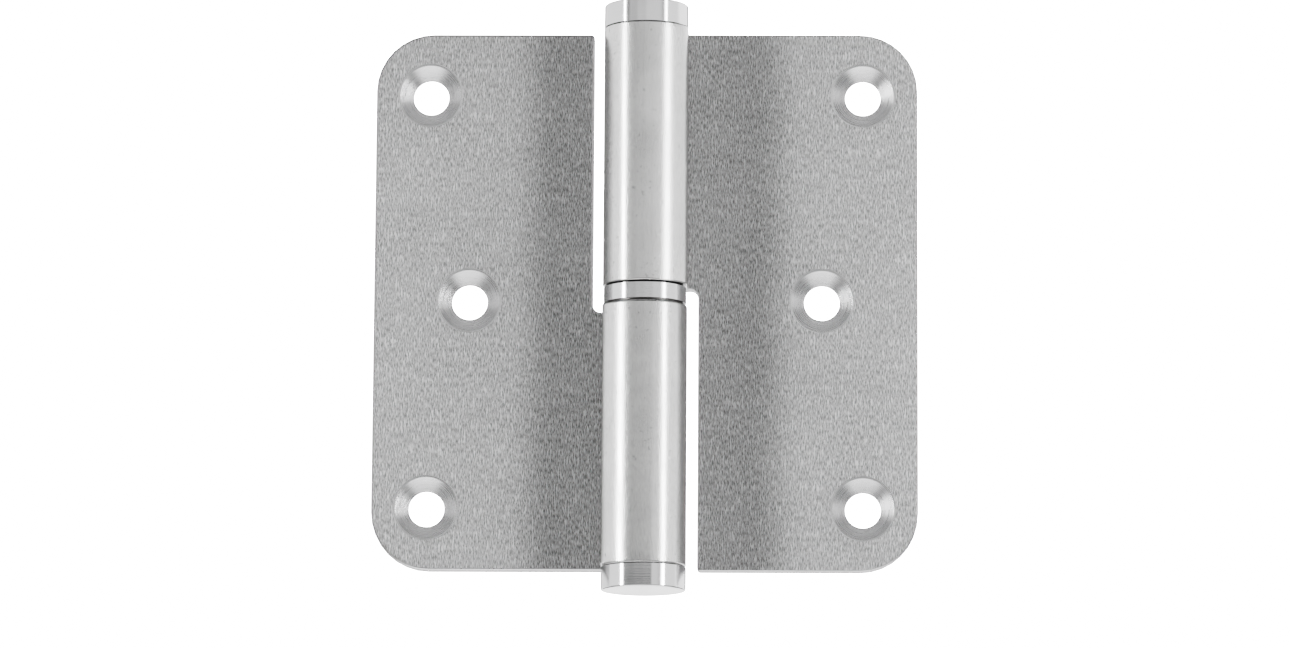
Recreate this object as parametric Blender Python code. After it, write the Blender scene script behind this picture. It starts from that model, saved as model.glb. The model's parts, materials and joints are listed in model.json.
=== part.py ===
"""A lift-off door hinge: two rolled leaves, a stepped pin, a thrust ball bearing, bushes and end caps.

Run it with: blender --background --python part.py

The frame: the origin lies on the pin's axis, halfway up the leaves. +Z runs up the pin, towards the
leaf that lifts off. -Y is the side that the screws go in from, and +Y is the side that lies against
the frame and the door. +X points along the door leaf, which is drawn opened flat.
All sizes are in metres.
"""

import math

import bmesh
import bpy

# ---- Leaves ----
LEAF_HEIGHT = 0.089
OPEN_WIDTH = 0.089
LEAF_THICKNESS = 0.003
CORNER_RADIUS = 0.0095
PIN_BORE = 0.0078  # inside diameter of the rolled knuckle
SEAM_GAP = 0.0003  # between the end of the roll and the leaf's face
NOTCH_CLEARANCE = 0.0017  # from the edge of the notch to the other leaf's knuckle
NOTCH_END_CLEARANCE = 0.0003  # how far the notch runs past the end of the leaf's own knuckle
NOTCH_CORNER_RADIUS = 0.0012
NOTCH_TIP_RADIUS = 0.0006

# ---- Screw holes ----
HOLE_DIAMETER = 0.0058
COUNTERSINK_DIAMETER = 0.010
COUNTERSINK_ANGLE = math.radians(90)
OUTER_HOLE_FROM_EDGE = 0.00895  # the two outer holes, from the leaf's free edge
MIDDLE_HOLE_FROM_EDGE = 0.01565
OUTER_HOLE_FROM_END = 0.01025  # the two outer holes, from the leaf's top or bottom

# ---- Thrust bearing between the knuckles ----
BALL_DIAMETER = 0.0016
BALL_COUNT = 12
BALL_CLEARANCE = 0.00005
GROOVE_DEPTH = 0.0002
RACE_THICKNESS = 0.00085
RACE_END_GAP = 0.0001  # from each race to its knuckle
CAGE_HEIGHT = 0.0006
CAGE_CLEARANCE = 0.0001  # round each ball, and from the cage to the pin and the case
CASE_WALL = 0.0005
CASE_INSET = 0.00015  # how far the case stands in from the knuckles' outer face
CASE_END_GAP = 0.0003  # the fine line between the case and each knuckle

# ---- Pin and bushes ----
JOURNAL_DIAMETER = 0.006
RUNNING_CLEARANCE = 0.00005  # radial, on the pin's journal
FIT_GAP = 0.0001  # radial, where one piece is pressed into another
PIN_DOME = 0.0012
PIN_FOOT_CHAMFER = 0.0004
PIN_END_GAP = 0.0003
PIN_TOP_GAP = 0.001
BUSH_LENGTH = 0.012
BUSH_INSET = 0.0003  # from the knuckle's lower end to the lower bush

# ---- End caps ----
CAP_HEIGHT = 0.0035
CAP_GAP = 0.0003
CAP_CHAMFER = 0.0003
SPIGOT_LENGTH = 0.004

# ---- Roundness of turned pieces ----
TURN_STEPS = 48
HOLE_STEPS = 32
POCKET_STEPS = 12
BALL_STEPS = 12
CUTTER_MARGIN = 0.002  # how far a cutter runs past the wall that it cuts

# ---- Sizes that follow from those above ----
HALF_HEIGHT = LEAF_HEIGHT / 2
HALF_WIDTH = OPEN_WIDTH / 2
BORE_RADIUS = PIN_BORE / 2
KNUCKLE_RADIUS = BORE_RADIUS + LEAF_THICKNESS
BALL_RADIUS = BALL_DIAMETER / 2
RACE_FACE = BALL_RADIUS + BALL_CLEARANCE - GROOVE_DEPTH
KNUCKLE_END = RACE_FACE + RACE_THICKNESS + RACE_END_GAP
NOTCH_EDGE = KNUCKLE_RADIUS + NOTCH_CLEARANCE
NOTCH_END = KNUCKLE_END + NOTCH_END_CLEARANCE
JOURNAL_RADIUS = JOURNAL_DIAMETER / 2
PRESSED_RADIUS = BORE_RADIUS - FIT_GAP
CASE_RADIUS = KNUCKLE_RADIUS - CASE_INSET
CASE_BORE_RADIUS = CASE_RADIUS - CASE_WALL
RACE_RADIUS = CASE_BORE_RADIUS - FIT_GAP
RACE_BORE_RADIUS = JOURNAL_RADIUS + RUNNING_CLEARANCE
PITCH_RADIUS = (RACE_RADIUS + RACE_BORE_RADIUS) / 2
PIN_TOP = HALF_HEIGHT - SPIGOT_LENGTH - PIN_TOP_GAP
PIN_FOOT = SPIGOT_LENGTH + PIN_END_GAP - HALF_HEIGHT


def clear_scene() -> None:
    """Removes every object of the scene that Blender starts with."""
    for old in list(bpy.data.objects):
        bpy.data.objects.remove(old, do_unlink=True)


def metal(name: str, colour: tuple, roughness: float, metallic: float = 1.0) -> bpy.types.Material:
    """Returns a material with one Principled BSDF."""
    material = bpy.data.materials.new(name)
    material.use_nodes = True
    shader = material.node_tree.nodes["Principled BSDF"]
    shader.inputs["Base Color"].default_value = (*colour, 1.0)
    shader.inputs["Roughness"].default_value = roughness
    shader.inputs["Metallic"].default_value = metallic
    return material


def arc(centre: tuple, radius: float, start: float, end: float, steps: int) -> list:
    """Returns points on an arc, with both its ends. The angles are in degrees."""
    angles = [math.radians(start + (end - start) * step / steps) for step in range(steps + 1)]
    return [(centre[0] + radius * math.cos(a), centre[1] + radius * math.sin(a)) for a in angles]


def to_object(name: str, shape: bmesh.types.BMesh, crease: float = 30.0) -> bpy.types.Object:
    """Makes an object from a bmesh, with its faces out, flat faces flat and round ones smooth."""
    bmesh.ops.recalc_face_normals(shape, faces=shape.faces)
    mesh = bpy.data.meshes.new(name)
    shape.to_mesh(mesh)
    shape.free()
    mesh.shade_smooth()
    mesh.set_sharp_from_angle(angle=math.radians(crease))
    made = bpy.data.objects.new(name, mesh)
    bpy.context.scene.collection.objects.link(made)
    return made


def add_prism(shape: bmesh.types.BMesh, base: list, rise: tuple) -> None:
    """Adds a prism to a bmesh: its base outline in 3D, and the vector that it rises by."""
    face = shape.faces.new([shape.verts.new(point) for point in base])
    grown = bmesh.ops.extrude_face_region(shape, geom=[face], use_keep_orig=True)
    moved = [part for part in grown["geom"] if isinstance(part, bmesh.types.BMVert)]
    bmesh.ops.translate(shape, verts=moved, vec=rise)


def add_turned(shape: bmesh.types.BMesh, profile: list, steps: int, closed: bool) -> list:
    """Turns a profile of (radius, z) points about Z. A closed profile makes a ring.

    Returns the vertices that it made.
    """
    known = set(shape.verts)
    points = [shape.verts.new((radius, 0.0, z)) for radius, z in profile]
    ends = points[1:] + points[:1] if closed else points[1:]
    edges = [shape.edges.new(pair) for pair in zip(points, ends)]
    bmesh.ops.spin(
        shape, geom=points + edges, axis=(0, 0, 1), cent=(0, 0, 0), angle=math.tau, steps=steps, use_merge=True
    )
    made = [vert for vert in shape.verts if vert not in known]
    bmesh.ops.remove_doubles(shape, verts=made, dist=1e-7)
    return [vert for vert in shape.verts if vert not in known]


def turned(name: str, profile: list, closed: bool = False, steps: int = TURN_STEPS) -> bpy.types.Object:
    """Returns a turned object. An open profile starts and ends on the axis."""
    shape = bmesh.new()
    add_turned(shape, profile, steps, closed)
    return to_object(name, shape)


def tube(name: str, inner: float, outer: float, low: float, high: float) -> bpy.types.Object:
    """Returns a plain turned tube."""
    return turned(name, [(outer, high), (outer, low), (inner, low), (inner, high)], closed=True)


def cut(target: bpy.types.Object, cutter: bpy.types.Object) -> None:
    """Takes a cutter's shape out of an object, and hides the cutter."""
    cutter.hide_render = True
    cutter.display_type = "WIRE"
    boolean = target.modifiers.new(cutter.name, "BOOLEAN")
    boolean.operation = "DIFFERENCE"
    boolean.solver = "EXACT"
    boolean.object = cutter


# ---- Leaves ----


def leaf_section() -> list:
    """The section of a leaf across the pin: a plate whose edge is rolled round the bore.

    The plate's back is level with the back of the knuckle. The roll goes behind the pin and round
    its front, and its square end stops just short of the plate's front face.
    """
    front = BORE_RADIUS
    roll_end = math.degrees(math.asin((front - SEAM_GAP) / KNUCKLE_RADIUS))
    outside = arc((0, 0), KNUCKLE_RADIUS, 90, 360 + roll_end, TURN_STEPS)
    inside = arc((0, 0), BORE_RADIUS, 360 + roll_end, 90, TURN_STEPS)
    return [(HALF_WIDTH, KNUCKLE_RADIUS), *outside, *inside, (HALF_WIDTH, front)]


def leaf_blank(name: str) -> bpy.types.Object:
    """The leaf as a rolled strip, with its two outer corners rounded."""
    shape = bmesh.new()
    base = [(x, y, -HALF_HEIGHT) for x, y in leaf_section()]
    add_prism(shape, base, (0, 0, LEAF_HEIGHT))
    corners = [
        edge
        for edge in shape.edges
        if all(abs(vert.co.x - HALF_WIDTH) < 1e-6 for vert in edge.verts)
        and abs(edge.verts[0].co.z - edge.verts[1].co.z) < 1e-6
    ]
    bmesh.ops.bevel(
        shape, geom=corners, offset=CORNER_RADIUS, offset_type="OFFSET", segments=12, profile=0.5, affect="EDGES"
    )
    return to_object(name, shape)


def notch_cutter(name: str) -> bpy.types.Object:
    """What a leaf leaves free for the other leaf's knuckle, drawn in X and Z."""
    below = -HALF_HEIGHT - CUTTER_MARGIN
    far = -KNUCKLE_RADIUS - CUTTER_MARGIN
    tip = (NOTCH_EDGE + NOTCH_TIP_RADIUS, -HALF_HEIGHT + NOTCH_TIP_RADIUS)
    corner = (NOTCH_EDGE - NOTCH_CORNER_RADIUS, NOTCH_END - NOTCH_CORNER_RADIUS)
    outline = [(far, below), (tip[0], below)]
    outline += arc(tip, NOTCH_TIP_RADIUS, 270, 180, 4)
    outline += arc(corner, NOTCH_CORNER_RADIUS, 0, 90, 6)
    outline += [(KNUCKLE_RADIUS, NOTCH_END), (KNUCKLE_RADIUS, KNUCKLE_END), (far, KNUCKLE_END)]
    depth = KNUCKLE_RADIUS + CUTTER_MARGIN
    shape = bmesh.new()
    add_prism(shape, [(x, -depth, z) for x, z in outline], (0, 2 * depth, 0))
    return to_object(name, shape)


def hole_places() -> list:
    """The centres of a leaf's three screw holes, as (x, z)."""
    outer = HALF_WIDTH - OUTER_HOLE_FROM_EDGE
    row = HALF_HEIGHT - OUTER_HOLE_FROM_END
    return [(outer, row), (HALF_WIDTH - MIDDLE_HOLE_FROM_EDGE, 0.0), (outer, -row)]


def hole_cutter(name: str) -> bpy.types.Object:
    """Three countersunk holes, open to the leaf's front face."""
    front = BORE_RADIUS
    rim = COUNTERSINK_DIAMETER / 2
    bore = HOLE_DIAMETER / 2
    slope = math.tan(COUNTERSINK_ANGLE / 2)
    throat = front + (rim - bore) / slope
    mouth = front - CUTTER_MARGIN
    back = KNUCKLE_RADIUS + CUTTER_MARGIN
    profile = [(0.0, mouth), (rim + CUTTER_MARGIN * slope, mouth), (bore, throat), (bore, back), (0.0, back)]
    shape = bmesh.new()
    for x, z in hole_places():
        made = add_turned(shape, profile, HOLE_STEPS, closed=False)
        for vert in made:
            turned_x, turned_y, along = vert.co
            vert.co = (x + turned_x, along, z - turned_y)
    return to_object(name, shape)


def leaf(name: str, half_turn: bool) -> bpy.types.Object:
    """Returns a finished leaf. Both leaves are the same piece, one turned half round about Y."""
    blank = leaf_blank(name)
    cutters = [notch_cutter(name + "_notch"), hole_cutter(name + "_holes")]
    for cutter in cutters:
        cut(blank, cutter)
    for made in [blank, *cutters]:
        made.rotation_euler.y = math.pi if half_turn else 0.0
    return blank


# ---- Pin, bushes and caps ----


def pin(name: str) -> bpy.types.Object:
    """A stepped pin: a thick shank in the lower knuckle, and a journal for the upper one."""
    dome_start = PIN_TOP - PIN_DOME
    dome = [
        (JOURNAL_RADIUS - PIN_DOME * (1 - math.cos(turn)), dome_start + PIN_DOME * math.sin(turn))
        for turn in [math.radians(15 * step) for step in range(7)]
    ]
    profile = [
        (0.0, PIN_TOP),
        *reversed(dome),
        (JOURNAL_RADIUS, -KNUCKLE_END),
        (PRESSED_RADIUS, -KNUCKLE_END),
        (PRESSED_RADIUS, PIN_FOOT + PIN_FOOT_CHAMFER),
        (PRESSED_RADIUS - PIN_FOOT_CHAMFER, PIN_FOOT),
        (0.0, PIN_FOOT),
    ]
    return turned(name, profile)


def bush(name: str, low: float) -> bpy.types.Object:
    """A sleeve pressed into the upper knuckle, with the pin's journal running in it."""
    return tube(name, JOURNAL_RADIUS + RUNNING_CLEARANCE, PRESSED_RADIUS, low, low + BUSH_LENGTH)


def cap(name: str, side: int) -> bpy.types.Object:
    """An end cap: a head as wide as the knuckle, on a spigot pressed into the bore.

    side is 1 at the top of the hinge and -1 at the bottom.
    """
    seat = HALF_HEIGHT + CAP_GAP
    end = seat + CAP_HEIGHT
    profile = [
        (0.0, end),
        (KNUCKLE_RADIUS - CAP_CHAMFER, end),
        (KNUCKLE_RADIUS, end - CAP_CHAMFER),
        (KNUCKLE_RADIUS, seat),
        (PRESSED_RADIUS, seat),
        (PRESSED_RADIUS, HALF_HEIGHT - SPIGOT_LENGTH),
        (0.0, HALF_HEIGHT - SPIGOT_LENGTH),
    ]
    return turned(name, [(radius, side * z) for radius, z in profile])


# ---- Thrust bearing ----


def race(name: str, side: int) -> bpy.types.Object:
    """A washer with a round groove that the balls run in. side is 1 above the balls, -1 below."""
    groove_radius = BALL_RADIUS + BALL_CLEARANCE
    reach = math.degrees(math.acos(RACE_FACE / groove_radius))
    groove = arc((PITCH_RADIUS, 0.0), groove_radius, 90 + reach, 90 - reach, 8)
    back = RACE_FACE + RACE_THICKNESS
    profile = [(RACE_BORE_RADIUS, RACE_FACE), *groove, (RACE_RADIUS, RACE_FACE)]
    profile += [(RACE_RADIUS, back), (RACE_BORE_RADIUS, back)]
    return turned(name, [(radius, side * z) for radius, z in profile], closed=True)


def ball_places() -> list:
    """The centres of the balls, as (x, y), evenly round the pitch circle."""
    return arc((0.0, 0.0), PITCH_RADIUS, 0, 360, BALL_COUNT)[:-1]


def cage(name: str) -> bpy.types.Object:
    """A flat ring with a round pocket for each ball."""
    inner = RACE_BORE_RADIUS + CAGE_CLEARANCE
    outer = RACE_RADIUS - CAGE_CLEARANCE
    ring = tube(name, inner, outer, -CAGE_HEIGHT / 2, CAGE_HEIGHT / 2)
    shape = bmesh.new()
    for x, y in ball_places():
        outline = arc((x, y), BALL_RADIUS + CAGE_CLEARANCE, 0, 360, POCKET_STEPS)[:-1]
        add_prism(shape, [(*point, -CAGE_HEIGHT) for point in outline], (0, 0, 2 * CAGE_HEIGHT))
    cut(ring, to_object(name + "_pockets", shape))
    return ring


def balls() -> list:
    """The bearing's balls, which share one mesh."""
    profile = [(radius, z) for z, radius in arc((0.0, 0.0), BALL_RADIUS, 0, 180, BALL_STEPS // 2)]
    profile[0] = (0.0, BALL_RADIUS)
    profile[-1] = (0.0, -BALL_RADIUS)
    first = turned("ball_01", profile, steps=BALL_STEPS)
    made = [first]
    for number in range(2, BALL_COUNT + 1):
        copy = bpy.data.objects.new(f"ball_{number:02d}", first.data)
        bpy.context.scene.collection.objects.link(copy)
        made.append(copy)
    for ball, (x, y) in zip(made, ball_places()):
        ball.location = (x, y, 0.0)
    return made


# ---- Assembly ----


def axis(name: str, riders: list, parent: bpy.types.Object | None = None) -> bpy.types.Object:
    """An empty on the pin's axis that carries the pieces which move together."""
    empty = bpy.data.objects.new(name, None)
    bpy.context.scene.collection.objects.link(empty)
    empty.parent = parent
    for rider in riders:
        rider.parent = empty
    return empty


def paint(pieces: list, material: bpy.types.Material) -> None:
    """Gives each piece the material. Pieces that share a mesh get it once."""
    for piece in pieces:
        if not piece.data.materials:
            piece.data.materials.append(material)


def build() -> None:
    """Makes every piece of the hinge, opened flat and with the door leaf down on its bearing."""
    clear_scene()
    frame_leaf = leaf("frame_leaf", half_turn=True)
    door_leaf = leaf("door_leaf", half_turn=False)
    hinge_pin = pin("hinge_pin")
    lower_bush = bush("lower_bush", KNUCKLE_END + BUSH_INSET)
    upper_bush = bush("upper_bush", PIN_TOP - PIN_DOME - BUSH_INSET - BUSH_LENGTH)
    top_cap = cap("top_cap", 1)
    bottom_cap = cap("bottom_cap", -1)
    lower_race = race("lower_race", -1)
    upper_race = race("upper_race", 1)
    ball_cage = cage("ball_cage")
    case_end = KNUCKLE_END - CASE_END_GAP
    bearing_case = tube("bearing_case", CASE_BORE_RADIUS, CASE_RADIUS, -case_end, case_end)
    bearing_balls = balls()

    paint([frame_leaf], metal("frame leaf brushed steel", (0.55, 0.55, 0.56), 0.38))
    paint([door_leaf], metal("door leaf brushed steel", (0.55, 0.55, 0.56), 0.38))
    paint([bearing_case], metal("ground steel", (0.62, 0.62, 0.63), 0.22))
    paint([hinge_pin], metal("pin steel", (0.58, 0.58, 0.59), 0.2))
    paint([top_cap, bottom_cap], metal("turned steel", (0.66, 0.66, 0.67), 0.16))
    paint([lower_race, upper_race], metal("race steel", (0.60, 0.60, 0.62), 0.18))
    paint(bearing_balls, metal("ball steel", (0.70, 0.70, 0.72), 0.06))
    paint([ball_cage], metal("cage brass", (0.72, 0.53, 0.26), 0.3))
    paint([lower_bush, upper_bush], metal("bush nylon", (0.80, 0.79, 0.74), 0.45, metallic=0.0))

    swing = axis("swing_axis", [upper_race])
    axis("lift_off_axis", [door_leaf, top_cap, lower_bush, upper_bush], swing)
    axis("cage_axis", [ball_cage, *bearing_balls])


build()
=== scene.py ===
"""The looks of a lift-off door hinge in stainless steel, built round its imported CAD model.

Run it with: blender --background --python scene.py

The frame has its origin on the pin's axis, halfway up the leaves. +Z runs up the pin, -Y is the
countersunk side that the camera sees, and +X points along the door leaf. Lengths are in metres.
Every piece carries a UV map named GRAIN in metres: U runs across the tool marks, and V along them.
"""

from __future__ import annotations

import json
import logging
import math
from dataclasses import dataclass
from enum import Enum, IntEnum
from typing import Callable, Iterable

import bmesh
import bpy
from mathutils import Matrix, Vector

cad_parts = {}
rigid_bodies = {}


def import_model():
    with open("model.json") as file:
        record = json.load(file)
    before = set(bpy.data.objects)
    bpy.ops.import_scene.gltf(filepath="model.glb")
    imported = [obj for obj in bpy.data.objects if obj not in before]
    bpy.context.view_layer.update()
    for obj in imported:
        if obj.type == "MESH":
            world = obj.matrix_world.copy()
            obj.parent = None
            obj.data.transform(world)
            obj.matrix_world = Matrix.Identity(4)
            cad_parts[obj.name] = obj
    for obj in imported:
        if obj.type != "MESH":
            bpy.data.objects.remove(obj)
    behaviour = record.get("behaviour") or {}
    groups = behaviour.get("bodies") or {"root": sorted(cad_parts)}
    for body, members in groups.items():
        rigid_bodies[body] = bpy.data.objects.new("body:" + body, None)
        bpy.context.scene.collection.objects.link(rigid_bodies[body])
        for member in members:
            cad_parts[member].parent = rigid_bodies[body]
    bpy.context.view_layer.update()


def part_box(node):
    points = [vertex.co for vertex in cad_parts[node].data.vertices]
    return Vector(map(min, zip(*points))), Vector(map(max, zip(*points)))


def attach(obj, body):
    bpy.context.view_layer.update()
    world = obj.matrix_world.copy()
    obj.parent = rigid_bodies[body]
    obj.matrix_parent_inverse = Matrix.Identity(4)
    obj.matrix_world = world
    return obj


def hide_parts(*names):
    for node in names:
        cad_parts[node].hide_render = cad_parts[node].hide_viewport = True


LOG = logging.getLogger("hinge")
GRAIN = "grain"
MM = 0.001

SHARP_ANGLE = math.radians(40)  # faces that meet at more than this show a sharp edge
FLAT_WEIGHT = 60  # how strongly large faces set the shading of their edges
EDGE_STEPS = 4  # chords in a quarter round along a plate's edge
ON_AXIS = 1e-9  # a profile point nearer the axis than this is on it
SCRATCH_DEPTH = 0.6  # a scratch's depth against the grain's
SEED_STEP = 3.7  # moves each finish's grain to a place of its own, by the length of its name
COAT_ROUGHNESS = 0.12
JOURNAL_BORE = 3.05 * MM  # the bore's radius in the bushes and the races
RACE_CLEARANCE = 0.1 * MM  # between the upper race's back and the knuckle's end

Point = tuple[float, float]
Colour = tuple[float, float, float]


# ---------------------------------------------------------------------------------------------
# Shader node groups
# ---------------------------------------------------------------------------------------------


class Nodes:
    """Adds nodes to one node tree and links them."""

    def __init__(self, tree: bpy.types.NodeTree) -> None:
        """Starts on a tree.

        Args:
            tree: The node tree to add to.
        """
        self.tree = tree

    def add(self, kind: str, inputs: dict | None = None, **settings: object) -> bpy.types.Node:
        """Adds a node.

        Args:
            kind: The node's type, without "ShaderNode" in front.
            inputs: Values or output sockets for its inputs, by name or number.
            settings: The node's own properties.

        Returns:
            The new node.
        """
        node = self.tree.nodes.new("ShaderNode" + kind)
        for name, value in settings.items():
            setattr(node, name, value)
        for key, value in (inputs or {}).items():
            if isinstance(value, bpy.types.NodeSocket):
                self.tree.links.new(value, node.inputs[key])
            else:
                node.inputs[key].default_value = value
        return node

    def maths(self, operation: str, *values: object) -> bpy.types.NodeSocket:
        """Adds a Math node and returns its output.

        Args:
            operation: Blender's name of the operation.
            values: Its inputs in order, each a number or an output socket.

        Returns:
            The node's output socket.
        """
        node = self.add("Math", dict(enumerate(values)), operation=operation)
        return node.outputs[0]

    def spread(
        self, value: object, low: object, high: object, to_low: float, to_high: float
    ) -> bpy.types.NodeSocket:
        """Maps a range of a value smoothly to another range, and holds it at both ends.

        Args:
            value: The value's output socket.
            low: The start of its range, a number or an output socket.
            high: The end of its range, a number or an output socket.
            to_low: What the start becomes.
            to_high: What the end becomes.

        Returns:
            The mapped value's output socket.
        """
        inputs = {"Value": value, "From Min": low, "From Max": high, "To Min": to_low, "To Max": to_high}
        return self.add("MapRange", inputs, interpolation_type="SMOOTHSTEP").outputs[0]


def new_group(name: str, inputs: dict[str, float | None], outputs: Iterable[str]) -> tuple[Nodes, dict, dict]:
    """Makes an empty shader node group.

    Args:
        name: The group's name.
        inputs: Its input names, each with a number, or None for a vector.
        outputs: Its output names, which are all numbers.

    Returns:
        The group's nodes, its inputs' sockets inside the group, and its outputs' sockets.
    """
    tree = bpy.data.node_groups.new(name, "ShaderNodeTree")
    for label, value in inputs.items():
        kind = "NodeSocketVector" if value is None else "NodeSocketFloat"
        socket = tree.interface.new_socket(name=label, in_out="INPUT", socket_type=kind)
        if value is not None:
            socket.default_value = value
    for label in outputs:
        tree.interface.new_socket(name=label, in_out="OUTPUT", socket_type="NodeSocketFloat")
    nodes = Nodes(tree)
    start = tree.nodes.new("NodeGroupInput")
    end = tree.nodes.new("NodeGroupOutput")
    return nodes, {o.name: o for o in start.outputs}, {i.name: i for i in end.inputs}


class EffectGroups:
    """The effects that several finishes share. Each is one node group, built once."""

    def __init__(self) -> None:
        """Builds the groups."""
        self.hairlines = self._hairlines()
        self.handling = self._handling()

    @staticmethod
    def _hairlines() -> bpy.types.NodeTree:
        """Returns the group of tool marks: fine lines that run along V, and longer single scratches."""
        wanted = {"Vector": None, "Across": 6000.0, "Along": 500.0, "Seed": 0.0}
        nodes, given, out = new_group("Hairline grain", wanted, ["Lines", "Scratches"])
        stretch = nodes.add("CombineXYZ", {0: given["Across"], 1: given["Along"], 2: 1.0})
        shift = nodes.add("CombineXYZ", {0: given["Seed"], 1: given["Seed"], 2: 0.0})
        scaled = nodes.add("VectorMath", {0: given["Vector"], 1: stretch.outputs[0]}, operation="MULTIPLY")
        placed = nodes.add("VectorMath", {0: scaled.outputs[0], 1: shift.outputs[0]}, operation="ADD")
        fine_set = {"Vector": placed.outputs[0], "Scale": 1.0, "Detail": 3.0, "Roughness": 0.62}
        fine = nodes.add("TexNoise", fine_set, noise_dimensions="2D")
        wider = {0: placed.outputs[0], 1: (0.55, 0.42, 1.0)}
        sparse_at = nodes.add("VectorMath", wider, operation="MULTIPLY")
        sparse_set = {"Vector": sparse_at.outputs[0], "Scale": 1.0, "Detail": 1.0, "Roughness": 0.5}
        sparse = nodes.add("TexNoise", sparse_set, noise_dimensions="2D")
        nodes.tree.links.new(nodes.spread(fine.outputs[0], 0.28, 0.72, 0.0, 1.0), out["Lines"])
        nodes.tree.links.new(nodes.spread(sparse.outputs[0], 0.62, 0.74, 0.0, 1.0), out["Scratches"])
        return nodes.tree

    @staticmethod
    def _handling() -> bpy.types.NodeTree:
        """Returns the group of handling marks: broad smudges, and small dull specks."""
        wanted = {"Vector": None, "Smudge Scale": 90.0, "Speck Scale": 1400.0}
        nodes, given, out = new_group("Handling marks", wanted, ["Smudges", "Specks"])
        smudge_set = {"Vector": given["Vector"], "Scale": given["Smudge Scale"]}
        smudge = nodes.add("TexNoise", {**smudge_set, "Detail": 3.0, "Distortion": 0.6})
        speck_set = {"Vector": given["Vector"], "Scale": given["Speck Scale"], "Detail": 1.0}
        speck = nodes.add("TexNoise", speck_set)
        nodes.tree.links.new(nodes.spread(smudge.outputs[0], 0.3, 0.7, 0.0, 1.0), out["Smudges"])
        nodes.tree.links.new(nodes.spread(speck.outputs[0], 0.66, 0.78, 0.0, 1.0), out["Specks"])
        return nodes.tree


# ---------------------------------------------------------------------------------------------
# Finishes
# ---------------------------------------------------------------------------------------------


class ToolMarks(Enum):
    """How close and how long a surface's tool marks are: lines a metre across them and along them."""

    BRUSHED = (6500.0, 1200.0)
    SATIN = (5200.0, 900.0)
    MILLED = (2600.0, 1600.0)
    TURNED = (9000.0, 90.0)
    GROUND = (11000.0, 260.0)
    MOULDED = (1500.0, 1500.0)


@dataclass(frozen=True)
class Finish:
    """One surface finish, and how strong each effect is on it.

    roughness_swing and shade_swing say how far the tool marks move the roughness and the colour
    either way. relief is the depth of the marks in metres.
    """

    name: str
    colour: Colour
    roughness: float
    marks: ToolMarks
    metallic: float = 1.0
    anisotropy: float = 0.0
    roughness_swing: float = 0.05
    shade_swing: float = 0.06
    scratch_shade: float = 0.05
    smudge_shade: float = 0.04
    smudge_roughness: float = 0.05
    speck_shade: float = 0.05
    relief: float = 0.000004
    coat: float = 0.0

    def material(self, groups: EffectGroups) -> bpy.types.Material:
        """Builds the finish as a material.

        Args:
            groups: The shared effects.

        Returns:
            The material.
        """
        made = bpy.data.materials.new(self.name)
        made.use_nodes = True
        nodes = Nodes(made.node_tree)
        shader = made.node_tree.nodes["Principled BSDF"]
        place = nodes.add("UVMap", uv_map=GRAIN).outputs[0]
        body = nodes.add("TexCoord").outputs["Object"]
        across, along = self.marks.value
        grain = nodes.add("Group", node_tree=groups.hairlines)
        pattern = {"Across": across, "Along": along, "Seed": len(self.name) * SEED_STEP}
        for key, value in pattern.items():
            grain.inputs[key].default_value = value
        nodes.tree.links.new(place, grain.inputs["Vector"])
        wear = nodes.add("Group", node_tree=groups.handling)
        nodes.tree.links.new(body, wear.inputs["Vector"])
        lines = nodes.maths("SUBTRACT", grain.outputs["Lines"], 0.5)
        shade = nodes.maths("MULTIPLY_ADD", lines, 2 * self.shade_swing, 1.0)
        shade = nodes.maths("MULTIPLY_ADD", grain.outputs["Scratches"], self.scratch_shade, shade)
        shade = nodes.maths("MULTIPLY_ADD", wear.outputs["Smudges"], -self.smudge_shade, shade)
        shade = nodes.maths("MULTIPLY_ADD", wear.outputs["Specks"], -self.speck_shade, shade)
        tinted = nodes.add("VectorMath", {0: self.colour, "Scale": shade}, operation="SCALE")
        nodes.tree.links.new(tinted.outputs[0], shader.inputs["Base Color"])
        rough = nodes.maths("MULTIPLY_ADD", lines, 2 * self.roughness_swing, self.roughness)
        rough = nodes.maths("MULTIPLY_ADD", wear.outputs["Smudges"], self.smudge_roughness, rough)
        nodes.tree.links.new(rough, shader.inputs["Roughness"])
        depths = (grain.outputs["Scratches"], SCRATCH_DEPTH, grain.outputs["Lines"])
        height = nodes.maths("MULTIPLY_ADD", *depths)
        bump = nodes.add("Bump", {"Strength": 1.0, "Distance": self.relief, "Height": height})
        nodes.tree.links.new(bump.outputs[0], shader.inputs["Normal"])
        shader.inputs["Metallic"].default_value = self.metallic
        if self.anisotropy:
            shader.inputs["Anisotropic"].default_value = self.anisotropy
            tangent = nodes.add("Tangent", direction_type="UV_MAP", uv_map=GRAIN)
            nodes.tree.links.new(tangent.outputs[0], shader.inputs["Tangent"])
        if self.coat:
            shader.inputs["Coat Weight"].default_value = self.coat
            shader.inputs["Coat Roughness"].default_value = COAT_ROUGHNESS
        return made


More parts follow.
